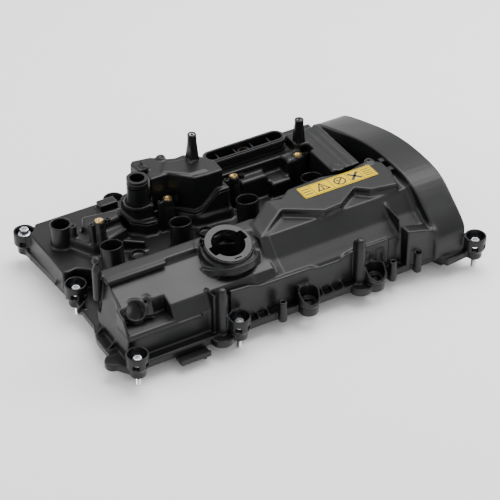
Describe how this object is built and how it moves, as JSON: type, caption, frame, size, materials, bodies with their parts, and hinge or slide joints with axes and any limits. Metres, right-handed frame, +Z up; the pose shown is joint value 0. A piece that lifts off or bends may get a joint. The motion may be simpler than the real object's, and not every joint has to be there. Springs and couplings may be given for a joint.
{
  "type": "engine cam cover with oil separator",
  "caption": "Black moulded cam cover of an inline engine with plug tubes, coil bosses, oil filler neck, oil separator with valves, chain hood, seals and captive screws.",
  "frame": {"origin": "where the axis of the first plug tube crosses the gasket face", "axes": "+X along the crankshaft from the plain end to the chain hood, +Y from the filler side to the separator side, +Z up from the gasket face"},
  "size_m": [0.4965, 0.315, 0.154],
  "materials": {
    "black_nylon": "glass-filled nylon, satin moulded skin",
    "zinc_steel": "bright zinc plate",
    "spring_steel": "bright stainless",
    "dark_steel": "black oxide",
    "brass": "turned brass",
    "black_rubber": "moulded rubber",
    "green_rubber": "moulded acrylic rubber",
    "blue_rubber": "moulded diaphragm rubber",
    "orange_rubber": "moulded silicone",
    "yellow_label": null
  },
  "bodies": {
    "cover": {"rail_front": "black_nylon", "rail_rear": "black_nylon", "rail_left": "black_nylon", "rail_right": "black_nylon", "front_gallery": "black_nylon", "label_deck": "black_nylon", "coil_valley": "black_nylon", "plug_tubes": "black_nylon", "coil_bosses": "black_nylon", "rear_deck": "black_nylon", "rear_box": "black_nylon", "channel_floor": "black_nylon", "chain_hood": "black_nylon", "separator_pot": "black_nylon", "separator_lid": "black_nylon", "separator_baffle": "black_nylon", "breather_neck": "black_nylon", "breather_seal": "black_rubber", "outlet_port": "black_nylon", "outlet_seal": "black_rubber", "filler_neck": "black_nylon", "filler_ring": "black_nylon", "sensor_seat": "black_nylon", "sensor_insert": "dark_steel", "round_socket": "black_nylon", "socket_insert": "dark_steel", "ball_post": "black_nylon", "lid_post": "black_nylon", "deck_post": "black_nylon", "post_inserts": "zinc_steel", "coil_inserts": "brass", "coil_clips": "black_nylon", "label": "yellow_label", "harness_bracket": "black_nylon", "hose_clips": "black_nylon", "gallery_baffle": "black_nylon", "perimeter_gasket": "black_rubber", "tube_seals": "green_rubber", "cover_screws": "zinc_steel", "screw_sleeves": "zinc_steel", "screw_grommets": "black_rubber", "valve_seat": "black_nylon", "valve_diaphragm": "blue_rubber", "valve_spring": "spring_steel", "check_seat": "black_nylon"},
    "valve_plate": {"valve_plate": "spring_steel"},
    "check_disc": {"check_disc": "orange_rubber"}
  },
  "joints": [
    {"name": "valve_slide", "type": "slide", "parent": "cover", "child": "valve_plate", "axis": [0, 0, -1], "range_m": [0, 0.004], "stiffness_N_per_m": 150, "springref_m": -0.002, "deforming": ["valve_spring"]},
    {"name": "check_lift", "type": "slide", "parent": "cover", "child": "check_disc", "axis": [0, 0, 1], "range_m": [0, 0.0025]}
  ]
}
